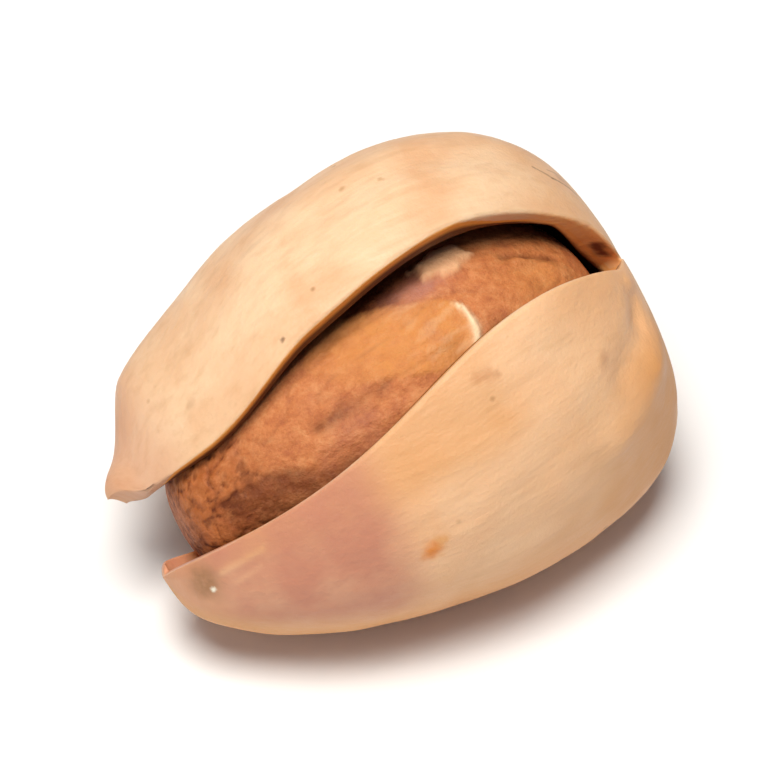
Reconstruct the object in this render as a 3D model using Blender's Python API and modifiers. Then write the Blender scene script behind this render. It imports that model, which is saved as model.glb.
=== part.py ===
"""A pistachio in its split shell, lying on its rounded side with the split facing up.

Metres, +Z up. Each piece is shaped along the nut's own axes: the stem end at the origin,
the tip on +X, the grown-together back seam below, the open split above, and the two
valves on +Y and -Y. The nut is then laid down so that a small flat spot rests on z = 0.
"""

import math

import bmesh
import bpy
from mathutils import Euler, Matrix, Vector

MM = 0.001

# The closed nut
LENGTH = 20.0 * MM  # stem end to tip
HEIGHT = 12.2 * MM  # back seam to split
BREADTH = 13.5 * MM  # across both valves
BELLY = 0.3  # how much fuller the stem half is than the tip half, seen from the side
SHOULDER = 0.26  # the same, seen from above
ROUND_STEM_SIDE = 0.89  # 0.5 is a round end and 1.0 a pointed one, seen from the side
ROUND_TIP_SIDE = 1.28
ROUND_STEM_TOP = 0.64  # the same, seen from above
ROUND_TIP_TOP = 0.84
BACK_BOW = 1.2 * MM  # how far both ends of the axis lie below its middle
SEAM_DRIFT = 0.56 * MM  # the split wanders off the middle plane, towards the back valve
SEAM_SWAY = 0.75 * MM  # and sways once to each side along its length

# The shell
WALL = 0.95 * MM
WALL_AT_STEM = 0.6  # share of the wall left at the stem end
WALL_AT_TIPS = 0.4  # and at the tips
WALL_TAPER = 0.22  # share of the length over which the wall thins, at each end
OPENING = math.radians(10.9)  # how far each valve has swung out
HINGE_FOOT = Vector((-0.27, 0.0, -1.51)) * MM  # where the valves' common hinge line starts
HINGE_SLOPE = math.radians(65.3)  # the line runs from there down and forward to the back
HINGE_BEND = 2.2 * MM  # width of the strip that bends instead of splitting
STEM_HOLD = 2.4 * MM  # length at the stem end over which the valves stay drawn together
SPLIT_START = 0.35 * MM  # where the upper split begins, from the stem end
SHELL_ROUND = 40  # faces around the nut
SHELL_LONG = 30  # faces from end to end

# The kernel
KERNEL_LENGTH = 16.4 * MM
KERNEL_HEIGHT = 8.6 * MM
KERNEL_BREADTH = 9.7 * MM
KERNEL_FOOT = Vector((1.35, 0.33, -0.9)) * MM  # its stem end, from the shell's stem end
KERNEL_BOW = 1.2 * MM  # how far both its ends lie below its middle
KERNEL_BELLY = 0.2  # how much fuller its stem half is than its tip half
KERNEL_ROUND_STEM = 0.7  # 0.5 is a round end and 1.0 a pointed one
KERNEL_ROUND_TIP = 0.66
KERNEL_ROUND = 28
KERNEL_LONG = 20

# How the nut lies
LEAN = math.radians(-24.1)  # rolled so that the split faces up and forward
DIP = math.radians(4.3)  # the tip lies a little lower than the stem end
TURN = math.radians(180.0)  # the stem end points to +X
SPOT_DEPTH = 0.4 * MM  # how deep the flat spot that the nut rests on is cut
CUTTER_SIZE = 12.0 * MM

SHELL_TAN = (0.80, 0.56, 0.35)
SKIN_BROWN = (0.46, 0.20, 0.09)


def clear_scene():
    """Remove every object, so that the script can be run again."""
    for item in list(bpy.data.objects):
        bpy.data.objects.remove(item, do_unlink=True)


def new_collection(name):
    """A collection of that name in the scene."""
    collection = bpy.data.collections.new(name)
    bpy.context.scene.collection.children.link(collection)
    return collection


def new_material(name, colour, roughness):
    """A plain Principled material."""
    material = bpy.data.materials.new(name)
    material.use_nodes = True
    shader = material.node_tree.nodes["Principled BSDF"]
    shader.inputs["Base Color"].default_value = (*colour, 1.0)
    shader.inputs["Roughness"].default_value = roughness
    shader.inputs["Metallic"].default_value = 0.0
    return material


def eased(share):
    """0 to 1 with a soft start and a soft end."""
    share = min(max(share, 0.0), 1.0)
    return share * share * (3.0 - 2.0 * share)


def half_width(turn, full, round_stem, round_tip, fuller):
    """Half the nut's size across, at a turn from 0 at the stem end to pi at the tip."""
    along = (1.0 - math.cos(turn)) / 2.0
    roundness = round_stem + (round_tip - round_stem) * along
    return full / 2.0 * max(math.sin(turn), 0.0) ** roundness * (1.0 + fuller * math.cos(turn))


def closed_shell_point(direction, side):
    """Where a direction from the middle of a unit ball lands on the closed nut."""
    turn = math.acos(min(max(-direction.x, -1.0), 1.0))
    around = math.atan2(direction.z, abs(direction.y))
    along = (1.0 - math.cos(turn)) / 2.0
    height = half_width(turn, HEIGHT, ROUND_STEM_SIDE, ROUND_TIP_SIDE, BELLY)
    breadth = half_width(turn, BREADTH, ROUND_STEM_TOP, ROUND_TIP_TOP, SHOULDER)
    drift = -SEAM_DRIFT * math.sin(math.pi * along) - SEAM_SWAY * math.sin(2.0 * math.pi * along)
    upper_share = max(math.sin(around), 0.0) ** 2
    axis_height = -BACK_BOW * (2.0 * along - 1.0) ** 2
    return Vector(
        (
            LENGTH * along,
            side * breadth * math.cos(around) + drift * upper_share,
            axis_height + height * math.sin(around),
        )
    )


def ahead_of_hinge(point):
    """How far a point lies on the split's side of the hinge line."""
    normal = Vector((math.cos(HINGE_SLOPE), 0.0, math.sin(HINGE_SLOPE)))
    return (point - HINGE_FOOT).dot(normal)


def opened(point, side, on_seam):
    """The point after its valve has swung out about the hinge line."""
    free = eased(ahead_of_hinge(point) / HINGE_BEND)
    if not on_seam:
        free = max(free, eased(abs(point.y) / HINGE_BEND))
    free *= eased(point.x / STEM_HOLD)
    hinge = Vector((-math.sin(HINGE_SLOPE), 0.0, math.cos(HINGE_SLOPE)))
    swing = Matrix.Rotation(OPENING * side * free, 3, hinge)
    return HINGE_FOOT + swing @ (point - HINGE_FOOT)


def unit_ball(rings_round, rings_long):
    """A ball of radius 1 with its poles on X and one ring of edges in the XZ plane."""
    ball = bmesh.new()
    bmesh.ops.create_uvsphere(
        ball,
        u_segments=rings_round,
        v_segments=rings_long,
        radius=1.0,
        matrix=Matrix.Rotation(math.radians(90.0), 4, "Y"),
    )
    return ball


def is_on_seam(vertex):
    """Whether a vertex of the unit ball lies in the seam's plane."""
    return abs(vertex.co.y) < 1e-5


def is_split(vertex):
    """Whether the seam is open at this vertex of the unit ball, or just starts to open."""
    place = closed_shell_point(vertex.co, 1.0)
    past_start = vertex.co.z < 0.0 or place.x >= SPLIT_START
    return is_on_seam(vertex) and past_start and ahead_of_hinge(place) > 0.0 and place.x > 0.2 * MM


def side_of(vertex):
    """+1 or -1 for the valve that a vertex belongs to, and 0 where the two are one."""
    sides = {math.copysign(1.0, face.calc_center_median().y) for face in vertex.link_faces}
    return sides.pop() if len(sides) == 1 else 0.0


def wall_share(along):
    """The wall's share of its full thickness, thinner at both ends."""
    stem_share = WALL_AT_STEM + (1.0 - WALL_AT_STEM) * eased(along / WALL_TAPER)
    tip_share = WALL_AT_TIPS + (1.0 - WALL_AT_TIPS) * eased((1.0 - along) / WALL_TAPER)
    return min(stem_share, tip_share)


def make_shell(collection, lying):
    """Both valves as one grown piece, split above, round the tip and up the back."""
    ball = unit_ball(SHELL_ROUND, SHELL_LONG)
    slit = [edge for edge in ball.edges if all(is_split(end) for end in edge.verts)]
    bmesh.ops.split_edges(ball, edges=slit)
    sides = [side_of(vertex) for vertex in ball.verts]
    shares = []
    for vertex, side in zip(ball.verts, sides):
        on_seam = is_on_seam(vertex)
        place = closed_shell_point(vertex.co, side)
        shares.append(wall_share(place.x / LENGTH))
        vertex.co = opened(place, side, on_seam)
    mesh = bpy.data.meshes.new("shell")
    ball.to_mesh(mesh)
    ball.free()
    shell = bpy.data.objects.new("shell", mesh)
    collection.objects.link(shell)
    wall = shell.vertex_groups.new(name="wall")
    for index, share in enumerate(shares):
        wall.add([index], share, "REPLACE")
    thicken = shell.modifiers.new("wall", "SOLIDIFY")
    thicken.thickness = WALL
    thicken.offset = -1.0
    thicken.vertex_group = wall.name
    shell.parent = lying
    shell.data.materials.append(new_material("dry_shell", SHELL_TAN, 0.6))
    mesh.shade_smooth()
    return shell


def make_kernel(collection, lying):
    """The seed in its papery skin, loose inside the shell."""
    ball = unit_ball(KERNEL_ROUND, KERNEL_LONG)
    for vertex in ball.verts:
        turn = math.acos(min(max(-vertex.co.x, -1.0), 1.0))
        around = math.atan2(vertex.co.z, vertex.co.y)
        along = (1.0 - math.cos(turn)) / 2.0
        ends = (KERNEL_ROUND_STEM, KERNEL_ROUND_TIP, KERNEL_BELLY)
        out = half_width(turn, KERNEL_BREADTH, *ends) * math.cos(around)
        up = half_width(turn, KERNEL_HEIGHT, *ends) * math.sin(around)
        bow = KERNEL_BOW * (1.0 - (2.0 * along - 1.0) ** 2)
        vertex.co = KERNEL_FOOT + Vector((KERNEL_LENGTH * along, out, up + bow))
    mesh = bpy.data.meshes.new("kernel")
    ball.to_mesh(mesh)
    ball.free()
    kernel = bpy.data.objects.new("kernel", mesh)
    collection.objects.link(kernel)
    kernel.parent = lying
    kernel.data.materials.append(new_material("papery_skin", SKIN_BROWN, 0.55))
    mesh.shade_smooth()
    return kernel


def lay_down(shell, lying):
    """Turn the nut to its resting pose, centred on the origin, its lowest point just under z = 0."""
    lying.rotation_euler = Euler((LEAN, DIP, TURN))
    bpy.context.view_layer.update()
    points = [shell.matrix_world @ vertex.co for vertex in shell.data.vertices]
    lows = [min(point[axis] for point in points) for axis in range(3)]
    highs = [max(point[axis] for point in points) for axis in range(3)]
    lying.location = (-(lows[0] + highs[0]) / 2.0, -(lows[1] + highs[1]) / 2.0, -lows[2] - SPOT_DEPTH)
    bpy.context.view_layer.update()


def cut_flat_spot(shell, cutters):
    """Take off what is below z = 0, which leaves the small flat spot that the nut rests on."""
    box = bmesh.new()
    bmesh.ops.create_cube(box, size=CUTTER_SIZE)
    mesh = bpy.data.meshes.new("spot_cutter")
    box.to_mesh(mesh)
    box.free()
    cutter = bpy.data.objects.new("spot_cutter", mesh)
    cutters.objects.link(cutter)
    cutter.location = (0.0, 0.0, -CUTTER_SIZE / 2.0)
    cutter.hide_render = True
    cutter.display_type = "WIRE"
    cut = shell.modifiers.new("flat_spot", "BOOLEAN")
    cut.operation = "DIFFERENCE"
    cut.object = cutter


def main():
    clear_scene()
    nut = new_collection("pistachio_in_shell")
    cutters = new_collection("cutters")
    lying = bpy.data.objects.new("lying", None)
    nut.objects.link(lying)
    shell = make_shell(nut, lying)
    make_kernel(nut, lying)
    lay_down(shell, lying)
    cut_flat_spot(shell, cutters)


main()
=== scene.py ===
"""The looks of a pistachio in its split shell, lying on a pale studio table.

The nut is shaped in millimetres along its own axes: the stem end at the origin, the tips on
+X, the open split above (+Z), the grown-together back seam below, and its two valves on +Y
(front) and -Y (back). Every piece starts as a ball; the shell is also cut and given its wall
as a ball. Each is then formed, laid down in the resting pose and brought to metres.
"""

import logging
import math
from dataclasses import dataclass, field
from enum import IntEnum

import bpy
import numpy as np
from mathutils import Euler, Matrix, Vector, noise


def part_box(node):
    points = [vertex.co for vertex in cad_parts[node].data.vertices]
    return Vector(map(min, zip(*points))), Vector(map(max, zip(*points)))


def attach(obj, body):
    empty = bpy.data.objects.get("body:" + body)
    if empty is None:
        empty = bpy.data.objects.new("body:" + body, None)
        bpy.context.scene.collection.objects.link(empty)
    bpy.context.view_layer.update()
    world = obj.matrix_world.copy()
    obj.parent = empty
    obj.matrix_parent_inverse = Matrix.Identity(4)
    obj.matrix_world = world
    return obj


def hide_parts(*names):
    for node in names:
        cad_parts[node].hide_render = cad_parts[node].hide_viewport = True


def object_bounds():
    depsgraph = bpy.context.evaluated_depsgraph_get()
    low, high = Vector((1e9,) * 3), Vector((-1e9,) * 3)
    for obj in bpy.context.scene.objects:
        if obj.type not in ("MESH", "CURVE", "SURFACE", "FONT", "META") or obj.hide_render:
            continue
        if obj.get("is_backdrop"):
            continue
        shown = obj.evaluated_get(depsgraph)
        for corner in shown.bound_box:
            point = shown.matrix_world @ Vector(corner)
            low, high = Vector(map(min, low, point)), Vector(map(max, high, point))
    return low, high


LOG = logging.getLogger("pistachio")
MM = 0.001
IN_SEAM_PLANE = 1e-5  # on a ball of radius 1

Tree = bpy.types.NodeTree
Socket = bpy.types.NodeSocket
Piece = bpy.types.Object
Array = np.ndarray
Triple = tuple[float, float, float]

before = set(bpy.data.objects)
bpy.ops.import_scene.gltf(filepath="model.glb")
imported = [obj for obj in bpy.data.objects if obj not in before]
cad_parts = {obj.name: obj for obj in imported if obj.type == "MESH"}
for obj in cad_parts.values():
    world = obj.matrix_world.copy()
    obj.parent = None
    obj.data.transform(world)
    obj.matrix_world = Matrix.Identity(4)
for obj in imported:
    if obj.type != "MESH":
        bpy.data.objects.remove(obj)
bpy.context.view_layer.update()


class Valve(IntEnum):
    """Which half of the shell a point belongs to."""

    BACK = -1
    JOINED = 0
    FRONT = 1


# ---------------------------------------------------------------- small tools


def eased(share: Array) -> Array:
    """0 to 1 with a soft start and a soft end.

    Args:
        share: values that are held between 0 and 1.

    Returns:
        The eased values.
    """
    held = np.clip(share, 0.0, 1.0)
    return held * held * (3.0 - 2.0 * held)


def hump(value: Array, centre: float, half: float) -> Array:
    """A smooth bell of height 1.

    Args:
        value: where to read the bell.
        centre: where its top is.
        half: distance from the top at which it has fallen to about a third.

    Returns:
        The bell's height at each value.
    """
    return np.exp(-(((value - centre) / half) ** 2))


def lumps(points: Array, size: Triple, octaves: int, shift: float) -> Array:
    """Smooth random lumps in space.

    Args:
        points: places in millimetres, one row each.
        size: the lumps' size along each axis, in millimetres.
        octaves: how many finer layers are added.
        shift: moves the pattern, so that two patterns differ.

    Returns:
        About -1 to 1 for each place.
    """
    rows = points / np.array(size) + shift
    return np.array([noise.fractal(Vector(row), 1.0, 2.0, octaves) for row in rows])


@dataclass(frozen=True)
class Stroke:
    """A soft ridge, groove or painted line along a straight run, with an uneven edge."""

    start: Triple
    end: Triple
    width: float
    rise: float = 0.0

    def nearness(self, places: Array) -> Array:
        """How near each place is to the line: 1 on it, and about a third at the stroke's width."""
        first, run = np.array(self.start), np.array(self.end) - np.array(self.start)
        share = np.clip(((places - first) @ run) / (run @ run), 0.0, 1.0)
        gap = np.linalg.norm(places - first - share[:, None] * run, axis=1)
        return hump(gap, 0.0, self.width)


def linear(code: str, alpha: float = 1.0) -> tuple[float, float, float, float]:
    """An sRGB hex colour as the linear values that shaders take.

    Args:
        code: six hex digits with a leading #.
        alpha: opacity.

    Returns:
        Red, green, blue and alpha.
    """
    parts = [int(code[i : i + 2], 16) / 255.0 for i in (1, 3, 5)]
    red, green, blue = (c / 12.92 if c <= 0.04045 else ((c + 0.055) / 1.055) ** 2.4 for c in parts)
    return red, green, blue, alpha


def add_node(tree: Tree, kind: str, inputs: dict | None = None, **settings) -> bpy.types.Node:
    """Add one shader node.

    Args:
        tree: the material's node tree.
        kind: the node's type name.
        inputs: value, or another node's output, for each input by name or number.
        settings: the node's own properties.

    Returns:
        The new node.
    """
    node = tree.nodes.new(kind)
    for name, value in settings.items():
        setattr(node, name, value)
    for key, value in (inputs or {}).items():
        if isinstance(value, Socket):
            tree.links.new(value, node.inputs[key])
        else:
            node.inputs[key].default_value = value
    return node


def new_material(name: str) -> tuple[bpy.types.Material, bpy.types.Node]:
    """A material with only its output and a Principled shader.

    Args:
        name: the finish's name.

    Returns:
        The material and its Principled shader.
    """
    material = bpy.data.materials.new(name)
    material.use_nodes = True
    return material, material.node_tree.nodes["Principled BSDF"]


def patches(
    tree: Tree,
    vector: Socket,
    size: float,
    start: float,
    full: float,
    least: float = 0.0,
    most: float = 1.0,
    **grit: float,
) -> Socket:
    """Soft random patches: noise, and the stretch of it that matters.

    Args:
        tree: the material's node tree.
        vector: places in millimetres.
        size: the patches' size in millimetres.
        start: the noise at which a patch begins.
        full: the noise at which it is full.
        least: the value between patches.
        most: the value in them.
        grit: the noise's detail, roughness and distortion.

    Returns:
        The patches' value.
    """
    cloudy = add_node(tree, "ShaderNodeTexNoise", {"Vector": vector, "Scale": 1.0 / size, **grit})
    spread = {"From Min": start, "From Max": full, "To Min": least, "To Max": most}
    return add_node(tree, "ShaderNodeMapRange", {"Value": cloudy.outputs[0], **spread}).outputs[0]


def lay_over(tree: Tree, under: Socket | tuple, tint: str, *shares: Socket) -> Socket:
    """Lay a colour over what is below it.

    Args:
        tree: the material's node tree.
        under: the colour below.
        tint: the hex colour on top.
        shares: values from 0 to 1, whose product says how much of the top colour shows.

    Returns:
        The colour that shows.
    """
    share = shares[0]
    for other in shares[1:]:
        share = add_node(tree, "ShaderNodeMath", {0: share, 1: other}, operation="MULTIPLY").outputs[0]
    mixed = add_node(tree, "ShaderNodeMix", {0: share, 6: under, 7: linear(tint)}, data_type="RGBA")
    return mixed.outputs[2]


def deselect_all() -> None:
    """Leave object mode with nothing selected, so that an operator meets only what is picked next."""
    if bpy.context.object and bpy.context.object.mode != "OBJECT":
        bpy.ops.object.mode_set(mode="OBJECT")
    bpy.ops.object.select_all(action="DESELECT")


def new_ball(name: str, faces_round: int, faces_long: int) -> Piece:
    """A ball of radius 1 with its poles on X and one ring of edges in the XZ plane.

    Args:
        name: the piece's name.
        faces_round: faces around the X axis.
        faces_long: faces from pole to pole.

    Returns:
        The new piece, picked and active.
    """
    deselect_all()
    bpy.ops.mesh.primitive_uv_sphere_add(segments=faces_round, ring_count=faces_long, radius=1.0)
    piece = bpy.context.object
    piece.name = piece.data.name = name
    piece.rotation_euler = (0.0, math.radians(90.0), 0.0)
    bpy.ops.object.transform_apply(location=True, rotation=True, scale=True)
    return piece


def read_points(piece: Piece) -> Array:
    """The piece's vertex places, one row each."""
    flat = np.empty(len(piece.data.vertices) * 3)
    piece.data.vertices.foreach_get("co", flat)
    return flat.reshape(-1, 3)


def write_points(piece: Piece, points: Array) -> None:
    """Move the piece's vertices to the given places, one row each."""
    piece.data.vertices.foreach_set("co", points.ravel())
    piece.data.update()


def paint(piece: Piece, name: str, values: Array) -> None:
    """Store one number per vertex that the piece's finish reads by name."""
    layer = piece.data.attributes.new(name, "FLOAT", "POINT")
    layer.data.foreach_set("value", np.clip(values, 0.0, 1.0).astype(np.float32))


def store_places(piece: Piece, places: Array) -> None:
    """Store where each vertex grew, in millimetres, so that patterns follow the nut."""
    layer = piece.data.attributes.new("grown", "FLOAT_VECTOR", "POINT")
    layer.data.foreach_set("vector", places.astype(np.float32).ravel())


def select_edges(piece: Piece, wanted: Array) -> None:
    """Open the piece in edge mode with only the wanted edges selected.

    Args:
        piece: the active piece.
        wanted: true for each edge to select.
    """
    bpy.ops.object.mode_set(mode="EDIT")
    bpy.ops.mesh.select_mode(type="EDGE")
    bpy.ops.mesh.select_all(action="DESELECT")
    bpy.ops.object.mode_set(mode="OBJECT")
    piece.data.edges.foreach_set("select", wanted)
    bpy.ops.object.mode_set(mode="EDIT")


def edge_ends(piece: Piece) -> Array:
    """The two vertex numbers of each edge, one row each."""
    flat = np.empty(len(piece.data.edges) * 2, np.int64)
    piece.data.edges.foreach_get("vertices", flat)
    return flat.reshape(-1, 2)


# ---------------------------------------------------------------- form


@dataclass(frozen=True)
class Ends:
    """How a long rounded body tapers: 0.5 is a round end and 1.0 a pointed one."""

    stem: float
    tip: float
    fuller: float

    def half_width(self, turn: Array, full: Array | float) -> Array:
        """Half the body's size across.

        Args:
            turn: 0 at the stem end to pi at the tip.
            full: the size across at the middle.

        Returns:
            Half the size at each turn.
        """
        roundness = self.stem + (self.tip - self.stem) * (1.0 - np.cos(turn)) / 2.0
        reach = np.clip(np.sin(turn), 0.0, 1.0) ** roundness
        return np.asarray(full) / 2.0 * reach * (1.0 + self.fuller * np.cos(turn))


@dataclass(frozen=True)
class Lie:
    """How the nut lies on the table, as Euler turns, with its split up and to the front."""

    lean: float = math.radians(-24.1)
    dip: float = math.radians(4.3)
    turn: float = math.radians(180.0)

    def matrix(self) -> Array:
        """The turn from the nut's own axes to the table's."""
        return np.array(Euler((self.lean, self.dip, self.turn)).to_matrix())


@dataclass(frozen=True)
class NutForm:
    """The nut's outer form, its wall, and how its valves have swung open, in millimetres."""

    length: float = 20.0
    height: float = 12.2
    breadth: float = 13.5
    side_ends: Ends = Ends(0.89, 1.28, 0.30)
    top_ends: Ends = Ends(0.64, 0.84, 0.26)
    back_bow: float = 1.2
    seam_drift: float = 0.56
    seam_sway: float = 0.75
    wall: float = 0.95
    wall_at_stem: float = 0.6
    wall_at_tips: float = 0.4
    wall_taper: float = 0.22
    end_wall: float = 0.55
    lip: float = 2.1
    blunt_tip: float = 0.3
    opening: float = math.radians(10.9)
    hinge_foot: Triple = (-0.27, 0.0, -1.51)
    hinge_slope: float = math.radians(65.3)
    hinge_bend: float = 2.2
    stem_hold: float = 1.5
    lie: Lie = Lie()

    def wall_at(self, along: Array) -> Array:
        """The wall's thickness at each share of the length."""
        at_stem = self.wall_at_stem + (1.0 - self.wall_at_stem) * eased(along / self.wall_taper)
        at_tips = self.wall_at_tips + (1.0 - self.wall_at_tips) * eased((1.0 - along) / self.wall_taper)
        return self.wall * np.minimum(at_stem, at_tips)

    def closed(self, ways: Array, side: Array, depth: Array, swell: Array) -> Array:
        """Where points of the ball land on the closed nut.

        Args:
            ways: unit directions from the ball's middle.
            side: +1 for the front valve, -1 for the back one, 0 where they are one.
            depth: 0 on the outside of the wall to 1 on its inside.
            swell: millimetres added outwards.

        Returns:
            Places in millimetres on the closed nut.
        """
        turn = np.arccos(np.clip(-ways[:, 0], -1.0, 1.0))
        around = np.arctan2(ways[:, 2], np.abs(ways[:, 1]))
        along = (1.0 - np.cos(turn)) / 2.0
        lip = self.lip * eased((0.13 - along) / 0.11) * eased((np.degrees(around) - 55.0) / 33.0)
        blunt = self.blunt_tip * eased((along - 0.93) / 0.04) * eased((np.degrees(around) - 20.0) / 50.0)
        blunt *= side == Valve.FRONT
        inset = depth * (self.wall_at(along) + lip * (1.0 - 0.25 * side) + blunt) - swell
        height = self.side_ends.half_width(turn, self.height) * (1.0 - 2.0 * inset / self.height)
        breadth = self.top_ends.half_width(turn, self.breadth) * (1.0 - 2.0 * inset / self.breadth)
        drift = -self.seam_drift * np.sin(np.pi * along) - self.seam_sway * np.sin(2.0 * np.pi * along)
        end = depth * self.end_wall
        x = end + (self.length - 2.0 * end) * along
        y = side * breadth * np.cos(around) + drift * np.clip(np.sin(around), 0.0, 1.0) ** 2
        z = height * np.sin(around) - self.back_bow * (2.0 * along - 1.0) ** 2
        return np.stack([x, y, z], axis=1)

    def ahead_of_hinge(self, places: Array) -> Array:
        """How far places lie on the split's side of the valves' hinge line."""
        normal = np.array([math.cos(self.hinge_slope), 0.0, math.sin(self.hinge_slope)])
        return (places - np.array(self.hinge_foot)) @ normal

    def opened(self, places: Array, side: Array, on_seam: Array) -> Array:
        """The places after the valves have swung out about the hinge line.

        Args:
            places: places on the closed nut.
            side: which valve each belongs to, as for closed.
            on_seam: true for points in the seam's plane.

        Returns:
            Places on the open nut.
        """
        free = eased(self.ahead_of_hinge(places) / self.hinge_bend)
        away = eased(np.abs(places[:, 1]) / self.hinge_bend)
        free = np.where(on_seam, free, np.maximum(free, away)) * eased(places[:, 0] / self.stem_hold)
        angle = self.opening * side * free
        axis = np.array([-math.sin(self.hinge_slope), 0.0, math.cos(self.hinge_slope)])
        arms = places - np.array(self.hinge_foot)
        lengthwise = (arms @ axis)[:, None] * axis
        turned = arms * np.cos(angle)[:, None] + np.cross(axis, arms) * np.sin(angle)[:, None]
        return np.array(self.hinge_foot) + turned + lengthwise * (1.0 - np.cos(angle))[:, None]

    def laid(self, places: Array) -> Array:
        """Bring places from the nut's own axes, in millimetres, to where the nut lies, in metres.

        Args:
            places: places along the nut's own axes.

        Returns:
            Places in metres on the table.
        """
        turned = self.lie.matrix() @ self._plain_outside().T
        low, high = turned.min(axis=1), turned.max(axis=1)
        box_low, box_high = (np.array(corner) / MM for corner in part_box("shell"))
        shift = (box_low + box_high - low - high) / 2.0
        shift[2] = box_high[2] - high[2]
        return (places @ self.lie.matrix().T + shift) * MM

    def _plain_outside(self) -> Array:
        """Points all over the open shell's plain outside, with no relief."""
        turn, around = np.meshgrid(np.linspace(0.0, np.pi, 61), np.linspace(-np.pi / 2, np.pi / 2, 41))
        turn, around = turn.ravel(), around.ravel()
        rows = []
        for side in (Valve.FRONT, Valve.BACK):
            out = np.sin(turn)
            ways = np.stack([-np.cos(turn), side * out * np.cos(around), out * np.sin(around)], axis=1)
            sides = np.full(len(turn), float(side))
            zero = np.zeros(len(turn))
            places = self.closed(ways, sides, zero, zero)
            rows.append(self.opened(places, sides, np.zeros(len(turn), bool)))
        return np.concatenate(rows)


NUT = NutForm()


# ---------------------------------------------------------------- finishes


@dataclass(frozen=True)
class Relief:
    """Fine grain over lengthwise fibres, too small to be in the mesh; sizes are in millimetres."""

    grain: float
    grain_detail: float
    grain_roughness: float
    grain_strength: float
    grain_depth: float
    fibres_per_mm: Triple
    fibre_detail: float
    fibre_depth: float
    fibre_strength: float = 0.6

    def normal(self, tree: Tree, grown: Socket) -> Socket:
        """The uneven normal that a shader takes."""
        look = {"Scale": 1.0 / self.grain, "Detail": self.grain_detail, "Roughness": self.grain_roughness}
        grain = add_node(tree, "ShaderNodeTexNoise", {"Vector": grown, **look})
        stretched = add_node(tree, "ShaderNodeMapping", {"Vector": grown, "Scale": self.fibres_per_mm})
        look = {"Scale": 1.0, "Detail": self.fibre_detail}
        fibres = add_node(tree, "ShaderNodeTexNoise", {"Vector": stretched.outputs[0], **look})
        look = {"Strength": self.grain_strength, "Distance": self.grain_depth * MM}
        fine = add_node(tree, "ShaderNodeBump", {"Height": grain.outputs[0], **look})
        look = {"Strength": self.fibre_strength, "Distance": self.fibre_depth * MM, "Normal": fine.outputs[0]}
        both = add_node(tree, "ShaderNodeBump", {"Height": fibres.outputs[0], **look})
        return both.outputs[0]


@dataclass(frozen=True)
class Body:
    """How light bounces off a material and goes a little way into it."""

    ior: float
    specular: float
    weight: float
    radius: Triple
    reach: float

    def give(self, shader: bpy.types.Node) -> None:
        """Set these on the shader's own inputs."""
        shader.inputs["IOR"].default_value = self.ior
        shader.inputs["Specular IOR Level"].default_value = self.specular
        shader.inputs["Subsurface Weight"].default_value = self.weight
        shader.inputs["Subsurface Radius"].default_value = self.radius
        shader.inputs["Subsurface Scale"].default_value = self.reach * MM


@dataclass(frozen=True)
class GrownFinish:
    """A natural surface, with patterns that follow where each place of the nut grew."""

    title: str
    body: Body
    relief: Relief
    roughness: tuple[float, float]
    worn_size: float

    def material(self) -> bpy.types.Material:
        """The finish's material, satin where it has been rubbed and duller between."""
        material, shader = new_material(self.title)
        tree = material.node_tree
        grown = add_node(tree, "ShaderNodeAttribute", attribute_name="grown").outputs["Vector"]
        satin, dull = self.roughness
        worn = patches(tree, grown, self.worn_size, 0.3, 0.7, satin, dull, Detail=4.0)
        tree.links.new(self.colour(tree, grown), shader.inputs["Base Color"])
        tree.links.new(worn, shader.inputs["Roughness"])
        tree.links.new(self.relief.normal(tree, grown), shader.inputs["Normal"])
        self.body.give(shader)
        return material

    def colour(self, tree: Tree, grown: Socket) -> Socket:
        """The surface's colour, which each finish mixes in its own way."""
        raise NotImplementedError


@dataclass(frozen=True)
class Mark:
    """A small mark on the shell, round or drawn out along a short run; most are natural, and one is a painted
    glint.
    """

    name: str
    place: Triple
    radius: float
    tint: str
    strength: float
    run: Triple = (0.0, 0.0, 0.0)

    def lay(self, tree: Tree, grown: Socket, colour: Socket) -> Socket:
        """Lay the mark over the shell, with a ragged soft edge.

        Args:
            tree: the shell material's node tree.
            grown: where each place grew, in millimetres.
            colour: the shell's colour so far.

        Returns:
            The colour with the mark.
        """
        look = {"Scale": 0.75 / self.radius, "Detail": 3.0}
        ragged = add_node(tree, "ShaderNodeTexNoise", {"Vector": grown, **look})
        run = Vector(self.run)
        share_of_run = tuple(run / max(run.length_squared, 1e-6))
        maths = "ShaderNodeVectorMath"
        arm = add_node(tree, maths, {0: grown, 1: self.place}, operation="SUBTRACT").outputs[0]
        step = add_node(tree, maths, {0: arm, 1: share_of_run}, operation="DOT_PRODUCT")
        held = add_node(tree, "ShaderNodeClamp", {"Value": step.outputs["Value"]}).outputs[0]
        nearest = add_node(tree, maths, {0: self.run, "Scale": held}, operation="SCALE")
        gap = add_node(tree, maths, {0: arm, 1: nearest.outputs[0]}, operation="DISTANCE")
        uneven = {0: ragged.outputs[0], 1: self.radius * 1.6, 2: gap.outputs["Value"]}
        reach = add_node(tree, "ShaderNodeMath", uneven, operation="MULTIPLY_ADD")
        edge = {"From Min": self.radius * 0.9, "From Max": self.radius * 2.2}
        fading = {"Value": reach.outputs[0], **edge, "To Min": self.strength, "To Max": 0.0}
        share = add_node(tree, "ShaderNodeMapRange", fading, interpolation_type="SMOOTHSTEP")
        marked = lay_over(tree, colour, self.tint, share.outputs[0])
        marked.node.label = self.name
        return marked


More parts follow.
